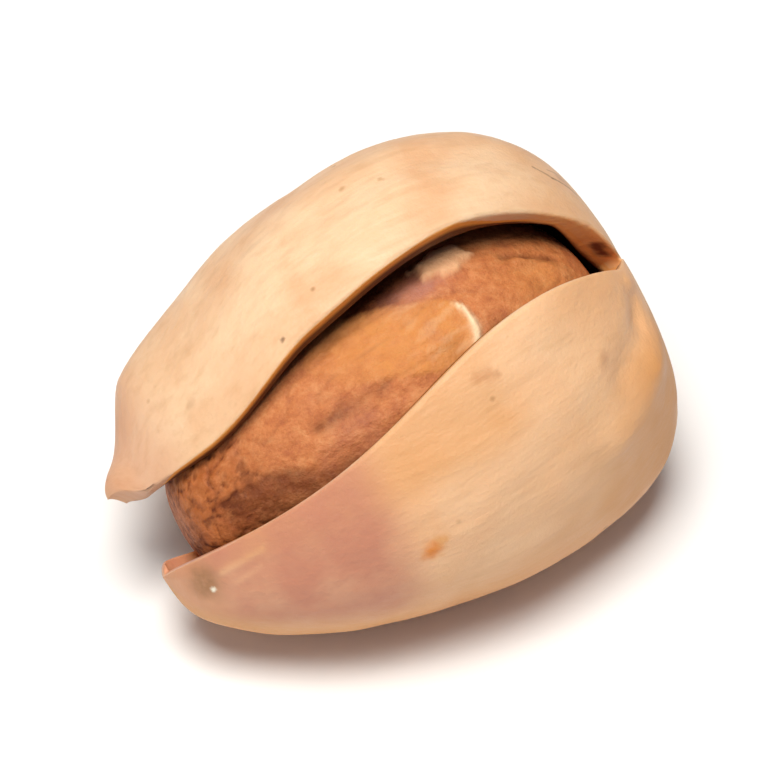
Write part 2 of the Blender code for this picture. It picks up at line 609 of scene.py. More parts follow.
@dataclass(frozen=True)
class DryShellFinish(GrownFinish):
    """Pistachio shell: a hard dry woody husk, sun dried, roasted and tumbled.

    Its outside is a smooth satin cream that turns sandy in soft clouds, with a pink blush
    towards the tips, fine brown flecks, pores and faint lengthwise fibres. The front valve
    carries painted warm bounce light, painted shade on its lower side and stem end, and a
    painted highlight along its broken rim. Its broken edge is golden brown, and deeper in
    the wall it is painted dark brown as the shade inside the shell.
    """

    title: str = "dry_pistachio_shell"
    body: Body = Body(ior=1.5, specular=0.4, weight=0.12, radius=(1.0, 0.55, 0.3), reach=0.9)
    relief: Relief = Relief(
        grain=0.16,
        grain_detail=3.0,
        grain_roughness=0.6,
        grain_strength=0.6,
        grain_depth=0.035,
        fibres_per_mm=(0.5, 3.0, 3.0),
        fibre_detail=4.0,
        fibre_depth=0.08,
    )
    roughness: tuple[float, float] = (0.42, 0.6)
    worn_size: float = 1.8
    cream: str = "#F4CDA4"
    sand: str = "#E6B488"
    # peach tone; on the front valve it is also painted warm bounce light
    tan_and_bounce_light: str = "#F3BC8B"
    # darker toast; on the front valve's lower side and stem end it is painted shade
    toast_and_shade: str = "#D5924F"
    blush: str = "#CB886B"
    olive: str = "#8A6236"
    streak: str = "#C4925F"
    fleck: str = "#A0703F"
    # pale painted highlight along the front valve's broken rim
    rim: str = "#F8DDBB"
    edge: str = "#EFA148"
    # dark brown painted deeper in the wall, as the shade inside the shell
    inside: str = "#5E3010"
    tissue: str = "#EEA864"
    scar: str = "#5E3517"
    cloud_size: float = 3.6
    grain_length: float = 2.4
    grain_width: float = 0.34
    fleck_spacing: float = 1.5
    tissue_size: float = 0.45
    marks: tuple[Mark, ...] = (
        Mark("rust_spot", (12.65, 4.07, 3.96), 0.4, "#E2852C", 0.95),
        Mark("rust_speck", (12.25, 3.9, 4.25), 0.26, "#E3A05C", 0.7),
        Mark("brown_bruise", (8.4, 0.12, 6.2), 0.3, "#BC7848", 0.42, (0.35, -0.05, 0.0)),
        Mark("brown_speck", (8.1, 0.3, 6.2), 0.16, "#B07044", 0.4),
        Mark("dark_dot", (13.49, -0.34, 4.9), 0.1, "#6B4A30", 0.7),
        Mark("back_speck", (9.16, -4.42, 5.12), 0.13, "#C09060", 0.6),
        Mark("back_speck_two", (7.92, -4.03, 5.56), 0.13, "#C09060", 0.6),
        Mark("beak_bruise", (16.7, -1.25, 2.65), 0.22, "#C59A72", 0.4),
        Mark("stem_bruise", (4.12, 1.88, 4.91), 0.34, "#C4906A", 0.5),
        # a white speck painted as a small glint on the olive stain
        Mark("salt_speck", (18.86, 1.33, 0.59), 0.12, "#F6EBD2", 1.0),
        Mark("stem_spot", (1.12, -0.27, 1.9), 0.3, "#5E1A10", 0.9, (-0.2, 0.04, -0.5)),
        Mark("scratch_start", (2.43, -2.95, 3.95), 0.07, "#8A5630", 0.55, (-0.52, 0.55, -0.36)),
        Mark("scratch_end", (1.91, -2.4, 3.59), 0.07, "#7A4A26", 0.65, (-0.77, 0.44, -0.91)),
        Mark("scratch_above", (1.85, -2.85, 3.35), 0.05, "#8A5630", 0.5, (-0.5, 0.2, -0.55)),
        Mark("scratch_smudge", (1.5, -2.5, 3.05), 0.26, "#B88560", 0.5, (-0.2, 0.1, -0.2)),
    )

    def colour(self, tree: Tree, grown: Socket) -> Socket:
        """The ground, then the flecks, the broken edge and the inside, and the single marks."""
        colour = self._ground(tree, grown)
        colour = self._flecks(tree, grown, colour)
        colour = self._edge_and_inside(tree, grown, colour)
        for mark in self.marks:
            colour = mark.lay(tree, grown, colour)
        return colour

    def _ground(self, tree: Tree, grown: Socket) -> Socket:
        """Cream and sand clouds, lengthwise grain, and the painted zones with cloudy edges."""
        clouds = patches(tree, grown, self.cloud_size, 0.38, 0.64, Detail=4.0, Distortion=0.4)
        colour = lay_over(tree, linear(self.cream), self.sand, clouds)
        stretch = (1.0 / self.grain_length, 1.0 / self.grain_width, 1.0 / self.grain_width)
        stretched = add_node(tree, "ShaderNodeMapping", {"Vector": grown, "Scale": stretch}).outputs[0]
        grain = patches(tree, stretched, 1.0, 0.48, 0.8, most=0.3, Detail=3.0, Distortion=0.2)
        colour = lay_over(tree, colour, self.streak, grain)
        for layer, tint, cloud, least in (
            ("tan_and_bounce_light", self.tan_and_bounce_light, 4.0, 0.5),
            ("toast_and_shade", self.toast_and_shade, 5.0, 0.5),
            ("blush", self.blush, 2.2, 0.68),
            ("rim", self.rim, 1.2, 0.5),
            ("stain", self.olive, 0.8, 0.45),
            ("scar", self.scar, 0.5, 0.45),
        ):
            painted = add_node(tree, "ShaderNodeAttribute", attribute_name=layer).outputs["Fac"]
            uneven = patches(tree, grown, cloud, 0.3, 0.62, least, Detail=3.0, Roughness=0.6)
            colour = lay_over(tree, colour, tint, painted, uneven)
        return colour

    def _flecks(self, tree: Tree, grown: Socket, colour: Socket) -> Socket:
        """Fine brown flecks, a few millimetres apart and each a fifth of a millimetre across."""
        look = {"Scale": 1.0 / self.fleck_spacing, "Randomness": 1.0}
        cells = add_node(tree, "ShaderNodeTexVoronoi", {"Vector": grown, **look})
        disc = {"From Min": 0.03, "From Max": 0.09, "To Min": 1.0, "To Max": 0.0}
        small = add_node(tree, "ShaderNodeMapRange", {"Value": cells.outputs["Distance"], **disc})
        pick = add_node(tree, "ShaderNodeSeparateColor", {0: cells.outputs["Color"]})
        some = {"Value": pick.outputs[0], "From Min": 0.55, "From Max": 0.9, "To Max": 0.7}
        chosen = add_node(tree, "ShaderNodeMapRange", some)
        return lay_over(tree, colour, self.fleck, small.outputs[0], chosen.outputs[0])

    def _edge_and_inside(self, tree: Tree, grown: Socket, colour: Socket) -> Socket:
        """The golden broken edge, the painted shade deeper in the wall, and the dry tissue by the stem."""
        depth = add_node(tree, "ShaderNodeAttribute", attribute_name="depth").outputs["Fac"]
        past_skin = {"Value": depth, "From Min": 0.01, "From Max": 0.1}
        edge = add_node(tree, "ShaderNodeMapRange", past_skin, interpolation_type="SMOOTHSTEP")
        colour = lay_over(tree, colour, self.edge, edge.outputs[0])
        # Painted shade: deeper in the wall the edge and the inside are painted dark brown.
        inner_shade = add_node(tree, "ShaderNodeMapRange", {"Value": depth, "From Min": 0.28, "From Max": 0.6})
        colour = lay_over(tree, colour, self.inside, inner_shade.outputs[0])
        tissue = add_node(tree, "ShaderNodeAttribute", attribute_name="tissue").outputs["Fac"]
        ragged = patches(tree, grown, self.tissue_size, 0.34, 0.6, 0.65, Detail=4.0, Roughness=0.7)
        return lay_over(tree, colour, self.tissue, tissue, ragged)


@dataclass(frozen=True)
class PaperySkinFinish(GrownFinish):
    """Kernel skin: the thin papery seed coat of a roasted pistachio.

    It is red-brown with darker mottling and pale worn crests, rougher and darker at the tip,
    and golden where the outer layer has lifted to a pale torn edge. Painted shade darkens it
    along the shell's rims, under the torn arc and in its creases and grooves.
    """

    title: str = "papery_seed_skin"
    body: Body = Body(ior=1.47, specular=0.3, weight=0.08, radius=(1.0, 0.4, 0.2), reach=0.6)
    relief: Relief = Relief(
        grain=0.2,
        grain_detail=4.0,
        grain_roughness=0.7,
        grain_strength=0.9,
        grain_depth=0.07,
        fibres_per_mm=(1.2, 2.6, 2.6),
        fibre_detail=5.0,
        fibre_depth=0.12,
    )
    roughness: tuple[float, float] = (0.5, 0.7)
    worn_size: float = 0.7
    skin: str = "#C87A47"
    ember: str = "#B1643A"
    crest: str = "#D88F5A"
    plum: str = "#A96A54"
    gold: str = "#D88E4A"
    torn: str = "#FBE3BA"
    char: str = "#A4561F"
    # dark brown for the fibres, and for the painted shade in creases and grooves
    crack: str = "#5C2408"
    shred: str = "#EDB586"
    mauve: str = "#B87A66"
    # dark brown for the membrane beside the shred, and painted shade along the rims and under the torn arc
    membrane_and_shade: str = "#5E2606"
    mottle_size: float = 0.55
    bruise_size: float = 2.6
    fibre_length: float = 1.6
    fibre_width: float = 0.16
    patch_size: float = 0.5

    def colour(self, tree: Tree, grown: Socket) -> Socket:
        """The mottled skin with its painted zones laid over it."""
        return self._layers(tree, grown, self._mottled(tree, grown))

    def _mottled(self, tree: Tree, grown: Socket) -> Socket:
        """Red-brown skin with darker embers, plum bruises and lengthwise fibres."""
        look = {"Scale": 1.0 / self.mottle_size, "Detail": 8.0, "Roughness": 0.72, "Distortion": 0.2}
        mottle = add_node(tree, "ShaderNodeTexNoise", {"Vector": grown, **look})
        ramp = add_node(tree, "ShaderNodeValToRGB", {0: mottle.outputs[0]})
        stops = ramp.color_ramp.elements
        stops[0].position, stops[0].color = 0.34, linear(self.ember)
        stops[1].position, stops[1].color = 0.66, linear(self.crest)
        stops.new(0.5).color = linear(self.skin)
        bruised = patches(tree, grown, self.bruise_size, 0.55, 0.75, most=0.45, Detail=5.0)
        colour = lay_over(tree, ramp.outputs[0], self.plum, bruised)
        stretch = (1.0 / self.fibre_length, 1.0 / self.fibre_width, 1.0 / self.fibre_width)
        stretched = add_node(tree, "ShaderNodeMapping", {"Vector": grown, "Scale": stretch}).outputs[0]
        thin = patches(tree, stretched, 1.0, 0.56, 0.78, most=0.12, Detail=4.0)
        return lay_over(tree, colour, self.crack, thin)

    def _layers(self, tree: Tree, grown: Socket, colour: Socket) -> Socket:
        """Lay the painted zones over the skin, each broken up by the same fine patches."""
        look = {"Scale": 1.0 / self.patch_size, "Detail": 5.0, "Roughness": 0.65}
        patch = add_node(tree, "ShaderNodeTexNoise", {"Vector": grown, **look}).outputs[0]
        for layer, tint, broken in (
            ("gold", self.gold, 0.4),
            ("char", self.char, 0.6),
            ("creases", self.crack, 0.4),
            ("membrane_and_shade", self.membrane_and_shade, 0.3),
            ("mauve", self.mauve, 0.4),
            ("shred", self.shred, 0.3),
            ("torn", self.torn, 0.2),
        ):
            painted = add_node(tree, "ShaderNodeAttribute", attribute_name=layer).outputs["Fac"]
            some = {"Value": patch, "From Min": 0.36, "From Max": 0.6, "To Min": 1.0 - broken}
            uneven = add_node(tree, "ShaderNodeMapRange", some).outputs[0]
            colour = lay_over(tree, colour, tint, painted, uneven)
        return colour


@dataclass(frozen=True)
class TableFinish:
    """Matt white laminate, so faintly uneven that only its soft shadows show."""

    white: str = "#FAFAF9"
    shade: str = "#F4F4F3"
    clouds_per_metre: float = 12.0
    roughness: float = 0.85
    specular: float = 0.1

    def material(self) -> bpy.types.Material:
        """The table's material."""
        material, shader = new_material("matt_white_laminate")
        tree = material.node_tree
        place = add_node(tree, "ShaderNodeTexCoord").outputs["Object"]
        look = {"Scale": self.clouds_per_metre, "Detail": 2.0}
        faint = add_node(tree, "ShaderNodeTexNoise", {"Vector": place, **look})
        tint = lay_over(tree, linear(self.white), self.shade, faint.outputs[0])
        tree.links.new(tint, shader.inputs["Base Color"])
        shader.inputs["Roughness"].default_value = self.roughness
        shader.inputs["Specular IOR Level"].default_value = self.specular
        return material


# ---------------------------------------------------------------- the shell


@dataclass
class Shell:
    """Both valves as one grown piece, split above, round the tips and up the back."""

    form: NutForm = NUT
    finish: DryShellFinish = field(default_factory=DryShellFinish)
    faces_round: int = 208
    faces_long: int = 150
    ball_wall: float = 0.1
    lip_rows: int = 7
    split_start: float = 0.35
    stem_whole: float = 0.2
    lump_rise: float = 0.12
    facet_rise: float = 0.1
    grit_rise: float = 0.03
    rib_rise: float = 0.05
    ribs_round: float = 8.5
    keel_rise: float = 0.16
    keel_groove: float = 0.14
    tip_line_rise: float = 0.03
    lip_sink: float = 0.32
    edge_out: float = 0.06
    edge_bevel: float = 0.08
    edge_wobble: float = 0.05
    edge_slant: float = 0.75
    scar_pit: float = 0.3
    scar_ring: float = 0.1
    beak_share: float = 0.45
    beak_hook: float = 0.1
    hood: float = 0.9
    stain_place: Triple = (19.0, 0.95, 0.5)
    folds: tuple[Stroke, ...] = (
        Stroke((1.5, 0.85, 3.2), (1.9, 1.6, 3.5), 0.5, -0.28),
        Stroke((1.9, 1.6, 3.5), (3.8, 2.6, 4.4), 0.6, -0.22),
        Stroke((1.1, 2.3, 2.4), (2.0, 2.8, 3.1), 0.55, 0.22),
        Stroke((2.0, 2.8, 3.1), (5.0, 4.6, 3.7), 0.8, 0.22),
        Stroke((1.3, 0.2, 3.1), (0.9, 0.3, 2.5), 0.35, 0.34),
        Stroke((2.3, 3.9, 1.6), (4.5, 5.6, 1.2), 0.8, -0.16),
        Stroke((5.5, 3.2, 5.2), (9.0, 4.2, 5.2), 0.9, -0.1),
        Stroke((18.45, 0.98, 1.15), (17.1, 1.0, 2.45), 0.12, 0.1),
        Stroke((18.1, 1.5, 1.3), (17.4, 1.45, 2.0), 0.1, 0.07),
    )

    def build(self) -> Piece:
        """Make and dress the shell.

        Returns:
            The finished piece, where it lies.
        """
        piece = new_ball("split_shell", self.faces_round, self.faces_long)
        self._cut_split(piece)
        self._give_wall(piece)
        self._form(piece)
        piece.data.shade_smooth()
        piece.data.materials.append(self.finish.material())
        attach(piece, "root")
        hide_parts("shell")
        return piece

    def _cut_split(self, piece: Piece) -> None:
        """Part the ball along the seam wherever the nut has split."""
        ball = read_points(piece)
        zero = np.zeros(len(ball))
        places = self.form.closed(ball, zero, zero, zero)
        begun = (ball[:, 2] < 0.0) | (places[:, 0] >= self.split_start)
        parted = (np.abs(ball[:, 1]) < IN_SEAM_PLANE) & begun & (self.form.ahead_of_hinge(places) > 0.0)
        parted &= places[:, 0] > self.stem_whole
        select_edges(piece, parted[edge_ends(piece)].all(axis=1))
        bpy.ops.mesh.edge_split(type="EDGE")
        bpy.ops.object.mode_set(mode="OBJECT")

    def _give_wall(self, piece: Piece) -> None:
        """Thicken the ball inwards and cut rows across the broken edge, so that it can be rounded."""
        paint_side = piece.data.attributes.new("valve", "FLOAT", "POINT")
        paint_side.data.foreach_set("value", self._sides(piece).astype(np.float32))
        thicken = piece.modifiers.new("wall", "SOLIDIFY")
        thicken.thickness = self.ball_wall
        thicken.offset = -1.0
        bpy.ops.object.modifier_apply(modifier=thicken.name)
        radius = np.linalg.norm(read_points(piece), axis=1)
        ends = radius[edge_ends(piece)]
        select_edges(piece, np.abs(ends[:, 0] - ends[:, 1]) > self.ball_wall / 2.0)
        bpy.ops.mesh.subdivide(number_cuts=self.lip_rows)
        bpy.ops.object.mode_set(mode="OBJECT")

    def _sides(self, piece: Piece) -> Array:
        """Which valve each vertex belongs to: +1, -1, or 0 where the two are one."""
        mesh = piece.data
        front = np.zeros(len(mesh.vertices), bool)
        back = np.zeros(len(mesh.vertices), bool)
        for face in mesh.polygons:
            side = front if face.center.y > 0.0 else back
            side[list(face.vertices)] = True
        return front.astype(float) - back.astype(float)

    def _form(self, piece: Piece) -> None:
        """Bring the ball to the nut's form, with its relief, and paint its zones."""
        ball = read_points(piece)
        radius = np.linalg.norm(ball, axis=1)
        ways = ball / radius[:, None]
        depth = np.clip((1.0 - radius) / self.ball_wall, 0.0, 1.0)
        side = np.empty(len(ball), np.float32)
        piece.data.attributes["valve"].data.foreach_get("value", side)
        side = np.round(side.astype(float))
        on_seam = np.abs(ball[:, 1]) < IN_SEAM_PLANE
        zero = np.zeros(len(ball))
        plain = self.form.closed(ways, side, depth, zero)
        around = np.degrees(np.arctan2(ways[:, 2], ways[:, 1]))
        along = (1.0 + ways[:, 0]) / 2.0
        swell = self._swell(plain, along, around, side) * (1.0 - depth)
        places = self.form.closed(ways, side, depth, swell)
        upward = np.degrees(np.arctan2(ways[:, 2], np.abs(ways[:, 1])))
        places = self._shape_tips(places, along, upward, side)
        places = self._round_edge(places, side, depth, on_seam, along)
        opened = self.form.opened(places, side, on_seam)
        opened = self._stem_scar(opened, depth)
        laid = self.form.laid(opened)
        laid[:, 2] = np.maximum(laid[:, 2], 0.0)
        write_points(piece, laid)
        store_places(piece, plain)
        # Where the broken edge faces the light the outside's colours reach further in, so the painted shade
        # covers only its shaded part.
        lit_lip = 0.7 * eased((0.34 - along) / 0.12) + eased((along - 0.9) / 0.05)
        bare = np.where(side == Valve.FRONT, 0.4 + 0.6 * eased((along - 0.86) / 0.06), lit_lip)
        paint(piece, "depth", np.clip((depth - bare) / (1.001 - bare), 0.0, 1.0))
        # Painted highlight: a pale line just inside the front valve's broken rim, fading towards the tips.
        rim = eased(depth / 0.05) * eased((0.5 - depth) / 0.2)
        paint(piece, "rim", np.where(side == Valve.FRONT, rim, 0.0) * (0.8 - 0.5 * along))
        self._paint_zones(piece, plain, along, side, depth)
        piece.data.attributes.remove(piece.data.attributes["valve"])

    def _swell(self, plain: Array, along: Array, around: Array, side: Array) -> Array:
        """The outside's relief in millimetres: lumps, ribs from the stem and the seams' keels."""
        big = lumps(plain, (5.5, 4.0, 4.0), 2, 3.1)
        small = lumps(plain, (2.2, 1.1, 1.1), 3, 7.7)
        long_facets = lumps(plain, (9.0, 2.2, 2.2), 2, 12.4)
        warp = 14.0 * big
        ribs = np.cos(np.radians((around + warp) * self.ribs_round)) * hump(along, 0.14, 0.13)
        from_back_seam = np.abs(np.abs(around) - 90.0) + np.where(around > 0.0, 200.0, 0.0)
        keel = self.keel_rise * hump(from_back_seam, 0.0, 9.0)
        keel = keel - self.keel_groove * hump(from_back_seam, 0.0, 2.5)
        from_split = np.abs(around - 90.0)
        tip_lines = np.sin(from_split * 0.62) * hump(along, 0.88, 0.05) * hump(from_split, 26.0, 16.0)
        front = (side == Valve.FRONT).astype(float)
        swell = self.lump_rise * big + self.grit_rise * small + self.facet_rise * long_facets
        swell = swell + (self.rib_rise + self.rib_rise * front) * ribs + keel
        for fold in self.folds:
            swell += fold.rise * fold.nearness(plain) * front
        soft_lip = eased((15.0 - from_split) / 15.0) * eased((0.34 - along) / 0.16) * (1.0 - front)
        return swell + self.tip_line_rise * tip_lines * front - self.lip_sink * soft_lip

    def _shape_tips(
        self, places: Array, along: Array, around: Array, side: Array
    ) -> Array:
        """Draw the back valve out to a thin hooked beak and round the front valve's tip.

        Args:
            places: places on the closed nut.
            along: share of the length, from the stem end.
            around: degrees up from the middle of either valve, 90 at the split.
            side: which valve each place belongs to.

        Returns:
            The places with their tips shaped.
        """
        shaped = places.copy()
        to_tip = self.form.length - places[:, 0]
        axis_height = -self.form.back_bow * (2.0 * along - 1.0) ** 2
        up = places[:, 2] - axis_height
        upper = eased((around + 10.0) / 100.0)
        thin = self.beak_share + (1.0 - self.beak_share) * eased((to_tip - 0.5) / 1.7)
        shallow = 0.2 + 0.8 * eased((to_tip - 0.4) / 3.2)
        lower = eased((-around - 20.0) / 60.0) * eased((3.6 - to_tip) / 2.6) * eased(to_tip / 1.3)
        hook = eased((0.7 - to_tip) / 0.7)
        hood = self.hood * eased((7.5 - to_tip) / 4.5) * eased((to_tip + 0.05) / 1.2) * upper
        back = side == Valve.BACK
        shaped[back, 1] = (places[:, 1] * thin + self.beak_hook * hook + hood - 0.45 * lower)[back]
        shaped[back, 2] = (axis_height + np.where(up < 0.0, up * shallow, up) - 0.35 * hood)[back]
        front = side == Valve.FRONT
        rounding = np.clip(1.0 - to_tip / 0.9, 0.0, 1.0) ** 2
        under = eased((2.6 - to_tip) / 2.2) * eased(to_tip / 0.8) * eased((20.0 - around) / 50.0)
        shaped[front, 0] -= (0.3 * rounding)[front]
        shaped[front, 1] += (0.1 * rounding - 0.35 * under)[front]
        shaped[front, 2] = (axis_height + np.where(up < 0.0, up * (0.5 + 0.5 * shallow), up))[front]
        return shaped

    def _round_edge(
        self, places: Array, side: Array, depth: Array, on_seam: Array, along: Array
    ) -> Array:
        """Round the broken edge's corners and make its line slightly uneven."""
        shaped = places.copy()
        edge = on_seam & (side != Valve.JOINED)
        crown = 1.0 - np.abs(2.0 * depth[edge] - 1.0) ** 4
        wobble = lumps(places[edge], (1.6, 1.6, 1.6), 3, 21.0)
        keep = eased((along[edge] - 0.02) / 0.06) * eased((0.985 - along[edge]) / 0.05)
        slant = self.edge_slant * eased((along[edge] - 0.13) / 0.08) * depth[edge]
        out = self.edge_out - self.edge_bevel * crown - self.edge_wobble * wobble + slant
        shaped[edge, 1] += side[edge] * keep * out
        shaped[edge, 1] += 0.3 * (side[edge] == Valve.BACK) * depth[edge] * hump(along[edge], 0.075, 0.03)
        return shaped

    def _stem_scar(self, places: Array, depth: Array) -> Array:
        """Sink the small ragged pit where the stalk was and raise the ring round it."""
        shaped = places.copy()
        out = np.hypot(places[:, 1], places[:, 2] + self.form.back_bow)
        near = (places[:, 0] < 2.0) * (1.0 - depth)
        ragged = 1.0 + 0.25 * lumps(places, (0.5, 0.5, 0.5), 2, 5.0)
        pit = self.scar_pit * hump(out, 0.0, 0.75) * ragged
        shaped[:, 0] += near * (pit - self.scar_ring * hump(out, 1.25, 0.35))
        return shaped

    def _paint_zones(
        self, piece: Piece, plain: Array, along: Array, side: Array, depth: Array
    ) -> None:
        """Paint where the shell is blushed, tanned, stained, scarred and lined with dry tissue, with painted
        bounce light on the front valve and painted shade on its lower side and stem end.
        """
        front = (side == Valve.FRONT).astype(float)
        back = (side == Valve.BACK).astype(float)
        up = plain[:, 2] + self.form.back_bow * (2.0 * along - 1.0) ** 2
        around = np.degrees(np.arctan2(up, plain[:, 1]))
        upper = eased((around - 8.0) / 22.0)
        blush = eased((along - 0.62) / 0.09) * (1.0 - 0.35 * eased((along - 0.9) / 0.06)) * front * upper
        blush += 0.45 * eased((along - 0.84) / 0.1) * back
        blush = np.maximum(blush, 0.95 * eased((along - 0.92) / 0.03) * front * (depth > 0.01))
        tip_ridges = np.max([fold.nearness(plain) for fold in self.folds if fold.start[0] > 15.0], axis=0)
        paint(piece, "blush", blush * (1.0 - 0.55 * tip_ridges))
        # Painted light: the front valve is tinted peach as if lit by warm bounce light; a lighter share tans
        # both valves by the stem.
        paint(piece, "tan_and_bounce_light", 0.7 * front + 0.3 * eased((0.3 - along) / 0.3))
        # Painted shade: toast darkens the front valve's lower side and its stem end; it also tans the back
        # valve near the stem and the front valve by its split rim.
        shaded_low_side = eased((38.0 - around) / 34.0) * front
        by_stem = 0.75 * eased((0.5 - along) / 0.4) * (1.0 - 0.6 * eased((around - 54.0) / 14.0)) * front
        by_stem += 0.3 * eased((0.24 - along) / 0.2) * back
        by_rim = 0.55 * eased((around - 60.0) / 14.0) * eased((along - 0.34) / 0.1) * front
        paint(piece, "toast_and_shade", 0.8 * shaded_low_side + np.maximum(by_stem, by_rim) * (1.0 - shaded_low_side))
        stain_gap = np.linalg.norm(plain - np.array(self.stain_place), axis=1)
        paint(piece, "stain", hump(stain_gap, 0.0, 0.6) * front)
        out = np.hypot(plain[:, 1], plain[:, 2] + self.form.back_bow)
        scar = hump(out, 0.0, 1.1) * (plain[:, 0] < 2.0)
        paint(piece, "scar", scar * (1.0 - depth))
        tissue = 0.9 * eased((0.2 - along) / 0.06) * eased(depth / 0.1)
        paint(piece, "tissue", tissue * eased((1.0 - depth) / 0.15))


# ---------------------------------------------------------------- the kernel


@dataclass
class Kernel:
    """The seed in its papery skin, lying loose inside the shell."""

    form: NutForm = NUT
    finish: PaperySkinFinish = field(default_factory=PaperySkinFinish)
    length: float = 16.6
    height: float = 8.6
    breadth: float = 9.7
    foot: Triple = (1.35, 0.33, -0.9)
    bow: float = 1.2
    tip_push: float = 0.55
    lump_rise: float = 0.09
    grit_rise: float = 0.014
    tip_grit: float = 0.1
    crease_depth: float = 0.07
    shrunk: float = 0.06
    gold_rise: float = 0.05
    torn_rise: float = 0.1
    shred_rise: float = 0.2
    ends: Ends = Ends(0.70, 0.60, 0.20)
    gold_start: tuple[float, float] = (8.55, -0.1)
    gold_end: tuple[float, float] = (11.5, -1.3)
    gold_reach: float = 1.4
    shred_place: Triple = (7.0, -2.45, 3.85)
    shred_size: Triple = (1.15, 0.62, 1.0)
    dark_place: Triple = (9.2, -2.5, 3.8)
    dark_size: Triple = (1.5, 0.6, 1.0)
    mauve_place: Triple = (8.3, -1.9, 4.0)
    mauve_size: Triple = (1.3, 0.5, 1.0)
    shade_place: Triple = (6.5, 0.8, 4.4)
    folds: tuple[Stroke, ...] = (
        Stroke((4.9, -1.75, 3.75), (3.0, -0.9, 2.95), 0.16, -0.14),
        Stroke((4.5, -1.35, 3.65), (3.0, -0.25, 3.1), 0.22, 0.16),
        Stroke((17.2, 2.4, 0.5), (17.9, 1.2, -0.4), 0.8, 0.3),
        Stroke((17.0, 1.6, 1.0), (16.6, 1.3, 1.7), 0.16, -0.18),
        Stroke((17.4, 0.8, 0.6), (16.9, 0.6, 1.5), 0.14, -0.16),
        Stroke((14.0, 1.3, 3.4), (10.5, 1.5, 4.2), 0.35, 0.07),
        Stroke((13.5, 0.6, 3.6), (11.0, 0.5, 4.2), 0.22, -0.06),
        Stroke((12.5, -0.6, 3.7), (9.8, -0.9, 4.2), 0.3, 0.05),
    )
    faces_round: int = 256
    faces_long: int = 190

    def build(self) -> Piece:
        """Make and dress the kernel.

        Returns:
            The finished piece, where it lies.
        """
        piece = new_ball("seed_kernel", self.faces_round, self.faces_long)
        ways = read_points(piece)
        zero = np.zeros(len(ways))
        plain = self.places(ways, zero)
        along = (1.0 + ways[:, 0]) / 2.0
        around = np.degrees(np.arctan2(ways[:, 2], ways[:, 1]))
        creases = self._creases(plain, along)
        swell = self._swell(plain, along, creases)
        write_points(piece, self.form.laid(self.places(ways, swell)))
        store_places(piece, plain)
        self._paint_zones(piece, plain, along, around, creases)
        piece.data.shade_smooth()
        piece.data.materials.append(self.finish.material())
        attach(piece, "root")
        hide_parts("kernel")
        return piece

    def places(self, ways: Array, swell: Array) -> Array:
        """Where directions from the ball's middle land on the kernel.

        Args:
            ways: unit directions.
            swell: millimetres added outwards.

        Returns:
            Places in millimetres along the nut's own axes.
        """
        turn = np.arccos(np.clip(-ways[:, 0], -1.0, 1.0))
        around = np.arctan2(ways[:, 2], ways[:, 1])
        along = (1.0 - np.cos(turn)) / 2.0
        out = self.ends.half_width(turn, self.breadth) * (1.0 + 2.0 * swell / self.breadth)
        up = self.ends.half_width(turn, self.height) * (1.0 + 2.0 * swell / self.height)
        push = self.tip_push * eased((along - 0.84) / 0.16)
        frontward = np.clip(0.55 + ways[:, 1], 0.0, 1.2)
        x = self.length * along + push * frontward * (1.0 - 0.8 * eased(-2.0 * ways[:, 2]))
        y = out * np.cos(around)
        z = up * np.sin(around) + self.bow * (1.0 - (2.0 * along - 1.0) ** 2)
        return np.stack([x, y, z], axis=1) + np.array(self.foot)

    def _creases(self, plain: Array, along: Array) -> Array:
        """How deep in a lengthwise crease each place is, from 0 to 1."""
        broad = lumps(plain, (4.6, 1.3, 1.3), 2, 31.0)
        fine = lumps(plain, (0.85, 0.45, 0.45), 3, 44.0)
        sparse = eased((lumps(plain, (1.3, 1.0, 1.0), 1, 48.0) + 0.25) / 0.5)
        rough = eased((along - 0.84) / 0.1) * sparse
        pits = eased((lumps(plain, (0.42, 0.3, 0.3), 2, 52.0) - 0.08) / 0.3) * eased((along - 0.8) / 0.12)
        folds = hump(broad, 0.0, 0.06) * 0.5 + 0.6 * hump(fine, 0.1, 0.1) * rough + 0.6 * pits
        return np.clip(folds, 0.0, 1.0)

    def _gold(self, plain: Array) -> tuple[Array, Array]:
        """The lifted golden layer and its torn rim.

        Args:
            plain: places on the kernel.

        Returns:
            How golden each place is, and how near the torn rim.
        """
        start = np.array(self.gold_start)
        run = np.array(self.gold_end) - start
        step = np.clip(((plain[:, :2] - start) @ run) / (run @ run), 0.0, 1.0)
        gap = np.linalg.norm(plain[:, :2] - start - step[:, None] * run, axis=1)
        ragged = gap + 0.12 * lumps(plain, (0.9, 0.9, 0.9), 3, 57.0)
        top = (plain[:, 2] > 1.5).astype(float)
        inside = eased((self.gold_reach - ragged) / 0.22) * top
        stemward = eased((8.5 - plain[:, 0]) / 0.8) * eased((plain[:, 1] + 1.05) / 0.45)
        width = 0.09 + 0.12 * hump(plain[:, 1], 0.25, 0.45) + 0.04 * lumps(plain, (0.4, 0.4, 0.4), 2, 59.0)
        rim = hump(ragged, 1.3 - width / 2.0, width) * stemward * top
        return inside, rim

    def _swell(self, plain: Array, along: Array, creases: Array) -> Array:
        """The skin's relief in millimetres."""
        big = lumps(plain, (3.6, 2.4, 2.4), 2, 61.0)
        fine = lumps(plain, (0.55, 0.4, 0.4), 3, 70.0)
        inside, rim = self._gold(plain)
        rough = eased((along - 0.78) / 0.18)
        swell = self.lump_rise * big + (self.grit_rise + self.tip_grit * rough) * fine
        swell = swell - (self.crease_depth + self.tip_grit * rough) * creases - self.shrunk - 0.03 * rough
        for fold in self.folds:
            swell += fold.rise * fold.nearness(plain)
        shred, _ = self._shred(plain)
        return swell + self.gold_rise * inside + self.torn_rise * rim + self.shred_rise * shred

